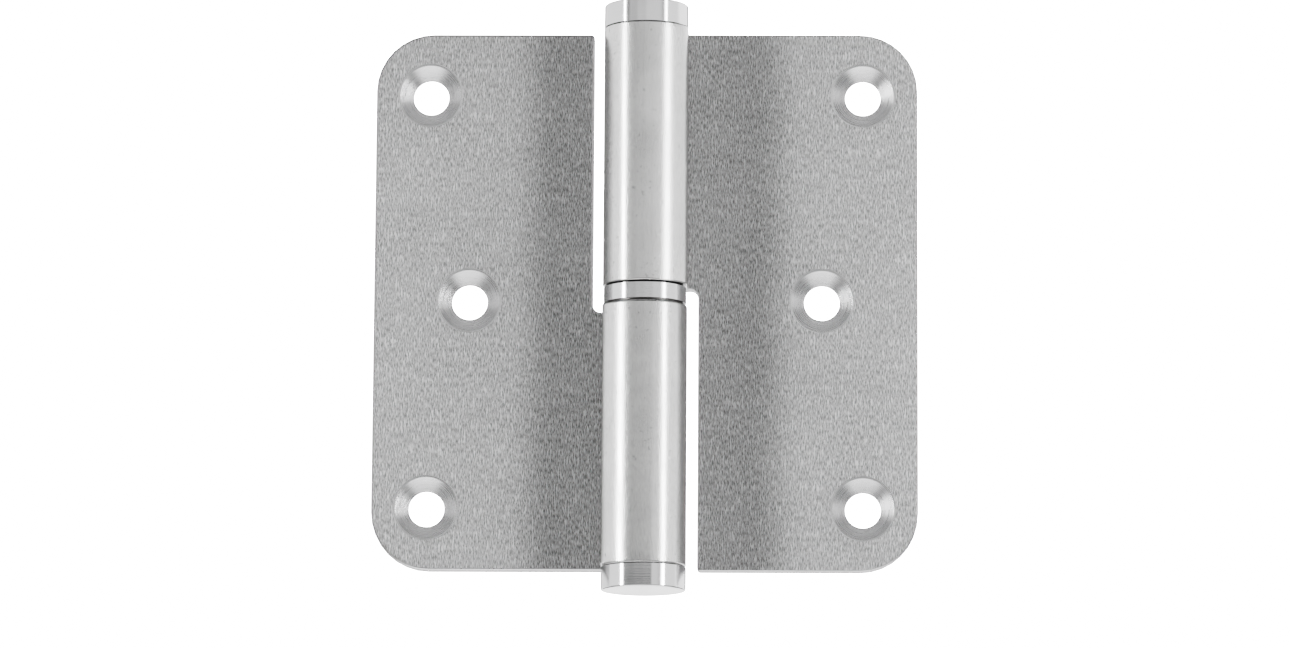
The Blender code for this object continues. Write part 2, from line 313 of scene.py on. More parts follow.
BRUSHED_FACE = Finish(
    "brushed steel face", (0.65, 0.65, 0.653), 0.66, ToolMarks.BRUSHED, anisotropy=0.9, shade_swing=0.42,
    scratch_shade=0.60,
)
SATIN_ROLL = Finish(
    "satin rolled steel", (0.74, 0.74, 0.735), 0.20, ToolMarks.SATIN, roughness_swing=0.03,
    scratch_shade=-0.05, smudge_shade=0.08, smudge_roughness=0.06, speck_shade=0.20, relief=0.000003,
)
CUT_EDGE = Finish("milled steel edge", (0.66, 0.66, 0.665), 0.30, ToolMarks.MILLED, shade_swing=0.07)
COUNTERSINK = Finish(
    "turned countersink", (0.78, 0.78, 0.785), 0.26, ToolMarks.TURNED, anisotropy=0.5, shade_swing=0.10,
    relief=0.000005,
)
POLISHED_CAP = Finish(
    "polished turned steel", (0.72, 0.72, 0.725), 0.11, ToolMarks.TURNED, anisotropy=0.3,
    roughness_swing=0.02, shade_swing=0.03, scratch_shade=0.02, smudge_shade=0.05, smudge_roughness=0.03,
    relief=0.000001,
)
GROUND_RING = Finish(
    "ground steel ring", (0.74, 0.74, 0.745), 0.15, ToolMarks.GROUND, anisotropy=0.3, roughness_swing=0.02,
    shade_swing=0.04, smudge_shade=0.05, smudge_roughness=0.04, relief=0.000001,
)
OILED_PIN = Finish(
    "ground pin with an oil film", (0.62, 0.61, 0.59), 0.20, ToolMarks.GROUND, anisotropy=0.3,
    shade_swing=0.05, smudge_shade=0.08, relief=0.000002, coat=0.35,
)
# The races' dark colour is painted shade: it darkens the seams between the knuckles and the ring.
RACE_PAINTED_SHADE = Finish(
    "greased race steel", (0.20, 0.195, 0.19), 0.30, ToolMarks.TURNED, anisotropy=0.3, relief=0.000002
)
BALL_STEEL = Finish(
    "polished ball steel", (0.76, 0.76, 0.78), 0.05, ToolMarks.SATIN, roughness_swing=0.01, shade_swing=0.01,
    scratch_shade=0.0, smudge_shade=0.03, smudge_roughness=0.02, relief=0.0000002,
)
CAGE_BRASS = Finish(
    "stamped brass", (0.80, 0.60, 0.28), 0.26, ToolMarks.MILLED, shade_swing=0.08, smudge_shade=0.10,
    relief=0.000003,
)
BUSH_NYLON = Finish(
    "moulded nylon", (0.80, 0.78, 0.70), 0.42, ToolMarks.MOULDED, metallic=0.0, shade_swing=0.02,
    scratch_shade=0.0, smudge_shade=0.03, speck_shade=0.03, relief=0.000008,
)


class Finishes:
    """Hands out one material for each finish."""

    def __init__(self) -> None:
        """Builds the shared effects."""
        self.groups = EffectGroups()
        self.made: dict[Finish, bpy.types.Material] = {}

    def get(self, finish: Finish) -> bpy.types.Material:
        """Returns the finish's material, and builds it the first time."""
        if finish not in self.made:
            self.made[finish] = finish.material(self.groups)
        return self.made[finish]


# ---------------------------------------------------------------------------------------------
# Outlines
# ---------------------------------------------------------------------------------------------


def arc(centre: Point, radius: float, start: float, end: float, steps: int) -> list[Point]:
    """Returns points on an arc, with both its ends.

    Args:
        centre: The arc's centre.
        radius: Its radius.
        start: The angle that it starts at, in radians.
        end: The angle that it ends at, in radians.
        steps: How many chords it has.

    Returns:
        Its points.
    """
    angles = [start + (end - start) * step / steps for step in range(steps + 1)]
    return [(centre[0] + radius * math.cos(a), centre[1] + radius * math.sin(a)) for a in angles]


def fillet(before: Point, corner: Point, after: Point, radius: float, steps: int) -> list[Point]:
    """Rounds one corner of a line.

    Args:
        before: The point before the corner.
        corner: The corner.
        after: The point after it.
        radius: The radius of the round.
        steps: How many chords the round has.

    Returns:
        The points that take the corner's place.
    """
    here = Vector(corner)
    back = (Vector(before) - here).normalized()
    on = (Vector(after) - here).normalized()
    half = back.angle(on) / 2
    reach = radius / math.tan(half)
    centre = here + (back + on).normalized() * (radius / math.sin(half))
    first = here + back * reach - centre
    last = here + on * reach - centre
    start = math.atan2(first.y, first.x)
    sweep = math.remainder(math.atan2(last.y, last.x) - start, math.tau)
    return arc((centre.x, centre.y), radius, start, start + sweep, steps)


@dataclass(frozen=True)
class Corner:
    """A corner of an outline, with the radius that rounds it."""

    a: float
    b: float
    radius: float = 0.0


def rounded_line(corners: list[Corner], steps: int = 4) -> list[Point]:
    """Rounds the inner corners of an open line, such as the profile of a turned piece.

    Args:
        corners: The line's corners. Its two ends aren't rounded.
        steps: How many chords each round has.

    Returns:
        The line's points.
    """
    points = [(c.a, c.b) for c in corners]
    made = [points[0]]
    for before, corner, after, shape in zip(points, points[1:], points[2:], corners[1:]):
        made += fillet(before, corner, after, shape.radius, steps) if shape.radius else [corner]
    return [*made, points[-1]]


def inset_outline(corners: list[Corner], inset: float, steps: int) -> list[Point]:
    """Moves a closed outline inwards and rounds its corners. It runs anticlockwise.

    Args:
        corners: The outline's corners.
        inset: How far it moves in.
        steps: How many chords each round has, so that every inset has as many points.

    Returns:
        The outline's points.
    """
    points = [Vector((c.a, c.b)) for c in corners]
    count = len(points)
    moved = []
    for index, point in enumerate(points):
        arrive = (point - points[index - 1]).normalized()
        leave = (points[(index + 1) % count] - point).normalized()
        inward = Vector((-arrive.y, arrive.x)) + Vector((-leave.y, leave.x))
        moved.append(point + inward * (inset / (1 + arrive.dot(leave))))
    made = []
    for index, point in enumerate(moved):
        arrive = points[index] - points[index - 1]
        leave = points[(index + 1) % count] - points[index]
        convex = arrive.x * leave.y - arrive.y * leave.x > 0
        radius = corners[index].radius - inset if convex else corners[index].radius + inset
        made += fillet(moved[index - 1], point, moved[(index + 1) % count], radius, steps)
    return made


def reach_of(way: Vector, centre: Vector, radius: float) -> float:
    """Returns how far the origin is from a circle's far side.

    Args:
        way: The direction to look in, one long.
        centre: The circle's centre.
        radius: Its radius.

    Returns:
        The distance.
    """
    along = centre.dot(way)
    return along + math.sqrt(radius**2 - centre.length_squared + along**2)


def circle(centre: Point, radius: float, steps: int) -> list[Point]:
    """Returns the points of a full circle, anticlockwise."""
    return arc(centre, radius, 0.0, math.tau, steps)[:-1]


# ---------------------------------------------------------------------------------------------
# Meshes
# ---------------------------------------------------------------------------------------------


def finish_mesh(
    name: str, shape: bmesh.types.BMesh, materials: list[bpy.types.Material]
) -> bpy.types.Object:
    """Makes a shown object from a bmesh, smooth on its rounds and true on its flats.

    Args:
        name: The object's name.
        shape: The mesh, which is freed.
        materials: The materials of its faces.

    Returns:
        The object.
    """
    bmesh.ops.recalc_face_normals(shape, faces=shape.faces)
    mesh = bpy.data.meshes.new(name)
    shape.to_mesh(mesh)
    shape.free()
    mesh.shade_smooth()
    mesh.set_sharp_from_angle(angle=SHARP_ANGLE)
    for material in materials:
        mesh.materials.append(material)
    made = bpy.data.objects.new(name, mesh)
    bpy.context.scene.collection.objects.link(made)
    weighted = made.modifiers.new("true flats", "WEIGHTED_NORMAL")
    weighted.keep_sharp = True
    weighted.weight = FLAT_WEIGHT
    return made


def turned(
    name: str, profile: list[Point], steps: int, material: bpy.types.Material, ring: bool = False
) -> bpy.types.Object:
    """Turns a profile about the pin's axis.

    Args:
        name: The object's name.
        profile: Its points as (radius, z). One that isn't a ring starts and ends on the axis.
        steps: How many chords a full turn has.
        material: Its material.
        ring: Whether the profile is closed.

    Returns:
        The object.
    """
    shape = bmesh.new()
    layer = shape.loops.layers.uv.new(GRAIN)
    turn = [math.tau * step / steps + math.pi / 2 for step in range(steps + 1)]
    widest = max(radius for radius, _ in profile)
    rows = []
    for radius, z in profile:
        if radius < ON_AXIS:
            rows.append([shape.verts.new((0.0, 0.0, z))] * steps)
            continue
        places = [(radius * math.cos(a), radius * math.sin(a), z) for a in turn[:-1]]
        rows.append([shape.verts.new(place) for place in places])
    line = [Vector(point) for point in profile]
    ends = list(range(1, len(profile))) + ([0] if ring else [])
    travelled = 0.0
    for start, end in enumerate(ends):
        length = (line[end] - line[start]).length
        for step in range(steps):
            follow = (step + 1) % steps
            spots = [
                (rows[start][step], travelled, turn[step]),
                (rows[end][step], travelled + length, turn[step]),
                (rows[end][follow], travelled + length, turn[step + 1]),
                (rows[start][follow], travelled, turn[step + 1]),
            ]
            kept = [spot for index, spot in enumerate(spots) if spot[0] not in [s[0] for s in spots[:index]]]
            face = shape.faces.new([spot[0] for spot in kept])
            for loop, (_, across, angle) in zip(face.loops, kept):
                loop[layer].uv = (across, angle * widest)
        travelled += length
    return finish_mesh(name, shape, [material])


@dataclass(frozen=True)
class Hole:
    """A round hole through a plate. Its wall is (radius, depth) points, from the back to the front."""

    centre: Point
    wall: tuple[Point, ...]
    material: int = 0


class Plate:
    """A flat plate with rounded edges and round holes, drawn in (a, b) and thick along a depth.

    The depth is 0 at the back and grows towards the front. The plate is made flat, and place() then
    takes each point to where it belongs.
    """

    def __init__(self, thickness: float, edge_round: float) -> None:
        """Starts an empty plate.

        Args:
            thickness: The plate's thickness.
            edge_round: The radius along its edges.
        """
        self.thickness = thickness
        self.edge_round = edge_round
        self.shape = bmesh.new()
        self.layer = self.shape.loops.layers.uv.new(GRAIN)
        self.back: list = []
        self.front: list = []

    def _ring(self, points: list[Point], depth: float) -> list:
        """Adds a closed loop of vertices at one depth and returns them."""
        return [self.shape.verts.new((a, depth, b)) for a, b in points]

    def _band(self, low: list, high: list, marks: Callable[[int, int], Point], material: int) -> None:
        """Joins two loops with quads.

        Args:
            low: The first loop.
            high: The second loop, with as many vertices.
            marks: Gives the UV of a corner from its loop, 0 or 1, and its step.
            material: The material of the faces.
        """
        count = len(low)
        for step in range(count):
            follow = (step + 1) % count
            face = self.shape.faces.new((low[step], low[follow], high[follow], high[step]))
            face.material_index = material
            corners = ((0, step), (0, step + 1), (1, step + 1), (1, step))
            for loop, corner in zip(face.loops, corners):
                loop[self.layer].uv = marks(*corner)

    def outline(self, corners: list[Corner], material: int, steps: int = 8) -> None:
        """Adds the plate's outer edge.

        Args:
            corners: The outline's corners, anticlockwise.
            material: The material of the edge.
            steps: How many chords each corner has.
        """
        edge = self.edge_round
        turns = [math.pi / 2 * step / EDGE_STEPS for step in range(EDGE_STEPS + 1)]
        stations = [(edge * (1 - math.sin(a)), edge * (1 - math.cos(a))) for a in turns]
        stations += [(inset, self.thickness - depth) for inset, depth in reversed(stations)]
        outlines = [inset_outline(corners, inset, steps) for inset, _ in stations]
        self._walls(outlines, stations, material)

    def disc(self, radius: float, steps: int, material: int = 0) -> None:
        """Gives the plate a round outer edge instead.

        Args:
            radius: The edge's radius.
            steps: How many chords it has.
            material: The material of the edge.
        """
        edge = self.edge_round
        stations = [(edge, 0.0), (0.0, edge), (0.0, self.thickness - edge), (edge, self.thickness)]
        outlines = [circle((0.0, 0.0), radius - inset, steps) for inset, _ in stations]
        self._walls(outlines, stations, material)

    def _walls(self, outlines: list[list[Point]], stations: list[Point], material: int) -> None:
        """Joins outlines at their depths into the outer edge.

        Args:
            outlines: The outlines, from the back to the front, each with as many points.
            stations: Each outline's inset and its depth.
            material: The material of the edge.
        """
        rings = [self._ring(points, depth) for points, (_, depth) in zip(outlines, stations)]
        length = [0.0]
        for first, second in zip(outlines[0], outlines[0][1:] + outlines[0][:1]):
            length.append(length[-1] + (Vector(second) - Vector(first)).length)
        for index, (low, high) in enumerate(zip(rings, rings[1:])):
            depths = (stations[index][1], stations[index + 1][1])
            self._band(low, high, lambda side, step, d=depths: (d[side], length[step]), material)
        self.back.append(rings[0])
        self.front.append(rings[-1])

    def hole(self, hole: Hole, steps: int) -> None:
        """Adds a hole and its wall.

        Args:
            hole: The hole.
            steps: How many chords it has.
        """
        rings = [self._ring(circle(hole.centre, radius, steps), depth) for radius, depth in hole.wall]
        widest = max(radius for radius, _ in hole.wall)
        travelled = 0.0
        for index, (low, high) in enumerate(zip(rings, rings[1:])):
            length = (Vector(hole.wall[index + 1]) - Vector(hole.wall[index])).length
            span = (travelled, travelled + length)
            arc_length = math.tau * widest / steps
            self._band(low, high, lambda side, step, s=span: (s[side], step * arc_length), hole.material)
            travelled += length
        self.back.append(rings[0])
        self.front.append(rings[-1])

    def close(self, back_material: int = 0, front_material: int = 0) -> None:
        """Fills the back and front faces between the outer edge and the holes.

        Args:
            back_material: The back face's material.
            front_material: The front face's material.
        """
        for loops, material in ((self.back, back_material), (self.front, front_material)):
            known = set(self.shape.faces)
            edges = []
            for loop in loops:
                edges += [self.shape.edges.get((v, w)) for v, w in zip(loop, loop[1:] + loop[:1])]
            bmesh.ops.triangle_fill(self.shape, edges=edges, use_beauty=True, normal=(0, 1, 0))
            for face in [face for face in self.shape.faces if face not in known]:
                face.material_index = material
                for loop in face.loops:
                    loop[self.layer].uv = (loop.vert.co.x, loop.vert.co.z)

    def slice(self, start: float, end: float, count: int) -> None:
        """Cuts the faces at even steps across a, so that a bend there comes out round.

        Args:
            start: Where the first cut is.
            end: Where the last cut is.
            count: How many steps there are between them.
        """
        for step in range(count + 1):
            at = start + (end - start) * step / count
            everything = [*self.shape.verts, *self.shape.edges, *self.shape.faces]
            bmesh.ops.bisect_plane(
                self.shape, geom=everything, dist=1e-7, plane_co=(at, 0, 0), plane_no=(1, 0, 0)
            )

    def place(self, where: Callable[[float, float, float], tuple]) -> None:
        """Takes each point to its place.

        Args:
            where: Gives a point's place from its a, b and depth.
        """
        for vert in self.shape.verts:
            vert.co = where(vert.co.x, vert.co.z, vert.co.y)


# ---------------------------------------------------------------------------------------------
# The hinge
# ---------------------------------------------------------------------------------------------


@dataclass
class Shared:
    """What the sub-assemblies take from the CAD model and from each other."""

    finishes: Finishes
    leaf_height: float
    half_width: float
    knuckle_radius: float
    knuckle_end: float
    thickness: float = 3.0 * MM

    @property
    def bore(self) -> float:
        """The radius of the rolled bore."""
        return self.knuckle_radius - self.thickness

    @property
    def half_height(self) -> float:
        """Half the leaf's height."""
        return self.leaf_height / 2


def read_frame(finishes: Finishes) -> Shared:
    """Reads the sizes that the pieces share from the CAD model.

    Args:
        finishes: The materials.

    Returns:
        The shared sizes.
    """
    low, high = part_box("door_leaf")
    knuckle_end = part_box("upper_race")[1].z + RACE_CLEARANCE
    return Shared(finishes, high.z - low.z, high.x, high.y, knuckle_end)


class LeafSurface(IntEnum):
    """A leaf's surfaces, by the place of their finish in its list of materials."""

    FRONT = 0
    BACK_AND_ROLL = 1
    SINK = 2
    EDGE = 3


@dataclass
class Leaf:
    """One leaf: a plate whose edge is rolled into half of the barrel.

    Both leaves are the same pressing. The frame leaf is the door leaf turned half round about Y.
    """

    shared: Shared
    node: str
    body: str
    half_turn: bool
    corner_radius: float = 9.5 * MM
    notch_clearance: float = 1.7 * MM
    notch_end_clearance: float = 0.3 * MM
    notch_radius: float = 1.2 * MM
    notch_slope: float = 1.2 * MM
    tip_radius: float = 0.6 * MM
    least_radius: float = 0.1 * MM
    edge_round: float = 0.22 * MM
    seam_gap: float = 0.12 * MM
    hole_radius: float = 2.9 * MM
    sink_radius: float = 5.0 * MM
    sink_half_angle: float = math.radians(45)
    rim_round: float = 0.12 * MM
    throat_round: float = 0.08 * MM
    outer_hole_in: float = 8.95 * MM
    middle_hole_in: float = 15.65 * MM
    outer_hole_down: float = 10.25 * MM
    hole_steps: int = 72
    roll_steps: int = 90
    flat_start: float = math.radians(21.0)
    flat_end: float = math.radians(52.0)
    flat_radius: float = 9.6 * MM
    turn_radius: float = 1.4 * MM

    @property
    def roll_end(self) -> float:
        """The angle about the pin at which the roll meets the plate's front face."""
        return math.tau + math.atan((self.shared.bore - self.seam_gap) / self.shared.knuckle_radius)

    @property
    def tab_end(self) -> float:
        """Where the rolled tab ends on the flat pressing, below 0."""
        return -(self.roll_end - math.pi / 2) * self.shared.knuckle_radius

    def blank(self) -> list[Corner]:
        """Returns the flat pressing's outline, with the tab that is rolled at a below 0."""
        s = self.shared
        notch = s.knuckle_radius + self.notch_clearance
        notch_end = s.knuckle_end + self.notch_end_clearance
        small = self.edge_round + self.least_radius
        return [
            Corner(notch, -s.half_height, self.tip_radius),
            Corner(s.half_width, -s.half_height, self.corner_radius),
            Corner(s.half_width, s.half_height, self.corner_radius),
            Corner(self.tab_end, s.half_height, small),
            Corner(self.tab_end, s.knuckle_end, small),
            Corner(s.knuckle_radius - self.notch_slope, s.knuckle_end, small),
            Corner(s.knuckle_radius, notch_end, small),
            Corner(notch, notch_end, self.notch_radius),
        ]

    def holes(self) -> list[Hole]:
        """Returns the three countersunk screw holes."""
        s = self.shared
        t, rim = s.thickness, self.rim_round
        throat = t - (self.sink_radius - self.hole_radius) / math.tan(self.sink_half_angle)
        edge = self.hole_radius + rim
        wall = [(edge, 0.0), *arc((edge, rim), rim, -0.75 * math.pi, -math.pi, 2)]
        wall += rounded_line(
            [
                Corner(self.hole_radius, 2 * rim),
                Corner(self.hole_radius, throat, self.throat_round),
                Corner(self.sink_radius, t, rim),
                Corner(self.sink_radius + 3 * rim, t),
            ]
        )
        outer = s.half_width - self.outer_hole_in
        row = s.half_height - self.outer_hole_down
        centres = [(outer, row), (s.half_width - self.middle_hole_in, 0.0), (outer, -row)]
        return [Hole(centre, tuple(wall), LeafSurface.SINK) for centre in centres]

    def outer_radius(self, angle: float) -> float:
        """Returns how far the roll's outer face is from the pin's axis.

        The sheet's last stretch is flatter than the rest, as a rolled sheet's end is, and then it
        turns in tightly to the leaf.

        Args:
            angle: The angle about the pin, from +X in the door leaf.

        Returns:
            The distance.
        """
        full = self.shared.knuckle_radius
        if angle < math.pi * 1.5 + self.flat_start:
            return full
        lean = Vector((math.sin(self.flat_start), -math.cos(self.flat_start)))
        flat_centre = lean * (full - self.flat_radius)
        lean = Vector((math.sin(self.flat_end), -math.cos(self.flat_end)))
        flat_stop = flat_centre + lean * self.flat_radius
        turn_centre = flat_stop - lean * self.turn_radius
        wall = turn_centre.x + self.turn_radius
        way = Vector((math.cos(angle), math.sin(angle)))
        if angle - math.tau < math.atan2(flat_stop.y, flat_stop.x):
            return reach_of(way, flat_centre, self.flat_radius)
        if angle - math.tau < math.atan2(turn_centre.y, wall):
            return reach_of(way, turn_centre, self.turn_radius)
        return wall / way.x

    def rolled(self, a: float, b: float, depth: float) -> tuple:
        """Takes a point of the flat pressing to its place on the finished leaf.

        Args:
            a: How far the point is from the pin, along the leaf. It is below 0 on the rolled tab.
            b: Its height.
            depth: How far it is from the leaf's back face.

        Returns:
            The place.
        """
        s = self.shared
        if a >= 0:
            x, y = a, s.knuckle_radius - depth
        else:
            angle = math.pi / 2 - a / s.knuckle_radius
            outer = self.outer_radius(angle)
            radius = outer - (outer - s.bore) * depth / s.thickness
            x, y = radius * math.cos(angle), radius * math.sin(angle)
        return (-x, y, -b) if self.half_turn else (x, y, b)

    def build(self) -> bpy.types.Object:
        """Builds the leaf, dresses it and puts it in its node's place."""
        s = self.shared
        plate = Plate(s.thickness, self.edge_round)
        plate.outline(self.blank(), LeafSurface.EDGE)
        for hole in self.holes():
            plate.hole(hole, self.hole_steps)
        plate.close(LeafSurface.BACK_AND_ROLL, LeafSurface.FRONT)
        plate.slice(0.0, self.tab_end + self.edge_round, self.roll_steps)
        for face in plate.shape.faces:
            if face.calc_center_median().x < 0:
                face.material_index = LeafSurface.BACK_AND_ROLL
        plate.place(self.rolled)
        finishes = [s.finishes.get(finish) for finish in (BRUSHED_FACE, SATIN_ROLL, COUNTERSINK, CUT_EDGE)]
        made = finish_mesh(self.node + "_steel", plate.shape, finishes)
        return mount(made, self.body, self.node)


def mount(piece: bpy.types.Object, body: str, node: str) -> bpy.types.Object:
    """Puts a piece on its body, in place of its CAD node, which it hides.

    Args:
        piece: The piece.
        body: The CAD body that it moves with.
        node: The CAD node that it stands for.

    Returns:
        The piece.
    """
    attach(piece, body)
    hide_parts(node)
    return piece


@dataclass
class Pin:
    """The stepped pin that stands in the frame leaf's knuckle."""

    shared: Shared
    journal_radius: float = 3.0 * MM
    dome: float = 1.2 * MM
    foot_round: float = 0.4 * MM
    step_round: float = 0.2 * MM
    round_steps: int = 8
    steps: int = 96

    def build(self) -> bpy.types.Object:
        """Builds the pin. Its step is at the lower knuckle's upper end."""
        low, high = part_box("hinge_pin")
        journal = self.journal_radius
        step = -self.shared.knuckle_end
        profile = rounded_line(
            [
                Corner(0.0, high.z),
                Corner(journal, high.z, self.dome),
                Corner(journal, step, self.step_round),
                Corner(high.x, step, self.step_round),
                Corner(high.x, low.z, self.foot_round),
                Corner(0.0, low.z),
            ],
            steps=self.round_steps,
        )
        made = turned("hinge_pin_steel", profile, self.steps, self.shared.finishes.get(OILED_PIN))
        return mount(made, "frame_side", "hinge_pin")


@dataclass
class EndCap:
    """A turned cap on the outer end of a knuckle. side is 1 at the top and -1 at the bottom."""

    shared: Shared
    node: str
    body: str
    side: int
    seat_gap: float = 0.06 * MM
    rim_round: float = 0.22 * MM
    seat_round: float = 0.05 * MM
    draft: float = 0.03 * MM
    spigot_clearance: float = 0.1 * MM
    spigot_round: float = 0.2 * MM
    steps: int = 128

    def build(self) -> bpy.types.Object:
        """Builds the cap's head and its spigot."""
        low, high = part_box(self.node)
        end = max(abs(low.z), abs(high.z))
        inner = min(abs(low.z), abs(high.z))
        seat = self.shared.half_height + self.seat_gap
        spigot = self.shared.bore - self.spigot_clearance
        head = high.x
        profile = rounded_line(
            [
                Corner(0.0, end),
                Corner(head - self.draft, end, self.rim_round),
                Corner(head, seat, self.seat_round),
                Corner(spigot, seat),
                Corner(spigot, inner, self.spigot_round),
                Corner(0.0, inner),
            ]
        )
        points = [(radius, self.side * z) for radius, z in profile]
        made = turned(self.node + "_steel", points, self.steps, self.shared.finishes.get(POLISHED_CAP))
        return mount(made, self.body, self.node)


@dataclass
class ThrustBearing:
    """The ball bearing between the knuckles: a case, two races, a cage and its balls."""

    shared: Shared
    ball_count: int = 12
    ball_radius: float = 0.8 * MM
    groove_clearance: float = 0.05 * MM
    pocket_clearance: float = 0.1 * MM
    case_wall: float = 0.5 * MM
    case_round: float = 0.05 * MM
    race_land: float = 0.2 * MM
    race_round: float = 0.08 * MM
    race_chamfer: float = 0.1 * MM
    groove_steps: int = 12
    cage_bore: float = 3.15 * MM
    cage_round: float = 0.06 * MM
    cage_steps: int = 96
    cage_bore_steps: int = 72
    pocket_steps: int = 24
    ball_steps: int = 40
    steps: int = 128

    def case(self) -> bpy.types.Object:
        """Builds the ring that shows between the knuckles."""
        low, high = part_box("bearing_case")
        inner = high.x - self.case_wall
        profile = ring_profile(inner, high.x, low.z, high.z, self.case_round)
        steel = self.shared.finishes.get(GROUND_RING)
        made = turned("bearing_case_steel", profile, self.steps, steel, ring=True)
        return mount(made, "frame_side", "bearing_case")

    def race(self, node: str, body: str, side: int) -> bpy.types.Object:
        """Builds a grooved washer.

        Args:
            node: Its CAD node.
            body: The body that it moves with.
            side: 1 above the balls and -1 below.

        Returns:
            The race.
        """
        low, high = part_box(node)
        back, face = max(abs(low.z), abs(high.z)), min(abs(low.z), abs(high.z))
        inner = JOURNAL_BORE
        pitch = (inner + high.x) / 2
        groove = self.ball_radius + self.groove_clearance
        reach = math.acos(face / groove)
        start, end = math.pi / 2 + reach, math.pi / 2 - reach
        profile = [(inner, face), *arc((pitch, 0.0), groove, start, end, self.groove_steps)]
        profile += rounded_line(
            [
                Corner(high.x - self.race_land, face),
                Corner(high.x, face, self.race_round),
                Corner(high.x, back, self.race_round),
                Corner(inner, back, self.race_round),
                Corner(inner, face + self.race_chamfer),
            ]
        )
        points = [(radius, side * z) for radius, z in profile]
        # The race's dark colour is painted shade in the seams beside the ring.
        steel = self.shared.finishes.get(RACE_PAINTED_SHADE)
        made = turned(node + "_steel", points, self.steps, steel, ring=True)
        return mount(made, body, node)

    def cage(self) -> bpy.types.Object:
        """Builds the stamped cage with a pocket for each ball."""
        low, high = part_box("ball_cage")
        inner, edge = self.cage_bore, self.cage_round
        plate = Plate(high.z - low.z, edge)
        plate.disc(high.x, self.cage_steps)
        front = plate.thickness
        wide = ((inner + edge, 0.0), (inner, edge), (inner, front - edge), (inner + edge, front))
        plate.hole(Hole((0.0, 0.0), wide), self.cage_bore_steps)
        pocket = self.ball_radius + self.pocket_clearance
        wall = tuple((radius - inner + pocket, depth) for radius, depth in wide)
        for x, y, _ in self.ball_places():
            plate.hole(Hole((x, y), wall), self.pocket_steps)
        plate.close()
        plate.place(lambda a, b, depth: (a, b, low.z + depth))
        made = finish_mesh("ball_cage_brass", plate.shape, [self.shared.finishes.get(CAGE_BRASS)])
        return mount(made, "ball_set", "ball_cage")

    def ball_places(self) -> list[Vector]:
        """Returns the balls' centres, from their CAD nodes."""
        boxes = [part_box(f"ball_{number:02d}") for number in range(1, self.ball_count + 1)]
        return [(low + high) / 2 for low, high in boxes]

    def balls(self) -> list[bpy.types.Object]:
        """Builds the balls."""
        made = []
        steel = self.shared.finishes.get(BALL_STEEL)
        half_turn = arc((0.0, 0.0), self.ball_radius, math.pi / 2, -math.pi / 2, self.ball_steps // 2)
        half_turn[0], half_turn[-1] = (0.0, self.ball_radius), (0.0, -self.ball_radius)
        for number, centre in enumerate(self.ball_places(), start=1):
            node = f"ball_{number:02d}"
            ball = turned(node + "_steel", half_turn, self.ball_steps, steel)
            ball.data.transform(Matrix.Translation(centre))
            made.append(mount(ball, "ball_set", node))
        return made

    def build(self) -> list[bpy.types.Object]:
        """Builds the whole bearing."""
        races = [self.race("lower_race", "frame_side", -1), self.race("upper_race", "turning_race", 1)]
        return [self.case(), *races, self.cage(), *self.balls()]


def ring_profile(inner: float, outer: float, low: float, high: float, rounding: float) -> list[Point]:
    """Returns the closed profile of a plain ring with four rounded edges.

    Args:
        inner: Its bore's radius.
        outer: Its outer radius.
        low: Its lower end's height.
        high: Its upper end's height.
        rounding: The radius along its edges.

    Returns:
        The profile's points.
    """
    corners = [Corner(outer, low, rounding), Corner(outer, high, rounding)]
    corners += [Corner(inner, high, rounding), Corner(inner, low, rounding)]
    return inset_outline(corners, 0.0, 4)


@dataclass
class Bushes:
    """The two nylon sleeves that the pin runs in, inside the door leaf's knuckle."""

    shared: Shared
    edge_round: float = 0.15 * MM
    steps: int = 96

    def build(self) -> list[bpy.types.Object]:
        """Builds both sleeves."""
        made = []
        for node in ("lower_bush", "upper_bush"):
            low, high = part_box(node)
            profile = ring_profile(JOURNAL_BORE, high.x, low.z, high.z, self.edge_round)
            nylon = self.shared.finishes.get(BUSH_NYLON)
            sleeve = turned(node + "_nylon", profile, self.steps, nylon, ring=True)
            made.append(mount(sleeve, "door_side", node))
        return made


# ---------------------------------------------------------------------------------------------
# The studio
# ---------------------------------------------------------------------------------------------


@dataclass(frozen=True)
class Panel:
    """A soft panel of light, or a dark card, seen from the hinge. Angles are in degrees.

    Azimuth 0 is the camera's side and grows towards +X. Elevation grows upwards. level is the
    panel's brightness, and softness is half the width of its soft edge.
    """

    azimuth: float
    elevation: float
    half_width: float
    half_height: float
    level: float
    softness: float = 4.0


class StudioLight(Enum):
    """The panels round the hinge. A later one stands in front of the earlier ones."""

    LEFT_WALL = Panel(-108, 10, 46, 14, 1.5, 6)
    RIGHT_WALL = Panel(80, 10, 25, 14, 1.45, 6)
    RIGHT_FAR_WALL = Panel(127, 10, 27, 14, 2.2, 8)
    BACK_SWEEP = Panel(180, -9, 80, 6, 2.3, 2)
    BACK_FLAG = Panel(180, 12, 25, 12, 0.2, 3)
    OVERHEAD_CARD = Panel(0, 90, 181, 40, 0.5, 12)
    UNDER_TABLE = Panel(0, -90, 181, 40, 2.2, 12)
    FRONT = Panel(0, 10, 46, 8, 0.97, 4)
    FRONT_LEFT = Panel(-34, 10, 10, 8, 0.75, 4)
    FRONT_RIGHT = Panel(20, 10, 20, 8, 1.15, 5)
    HIGH_CARD = Panel(0, 45, 42, 21, 0.1, 4)
    LOW_CARD = Panel(-12, 0, 35, 7.8, 0.27, 0.5)


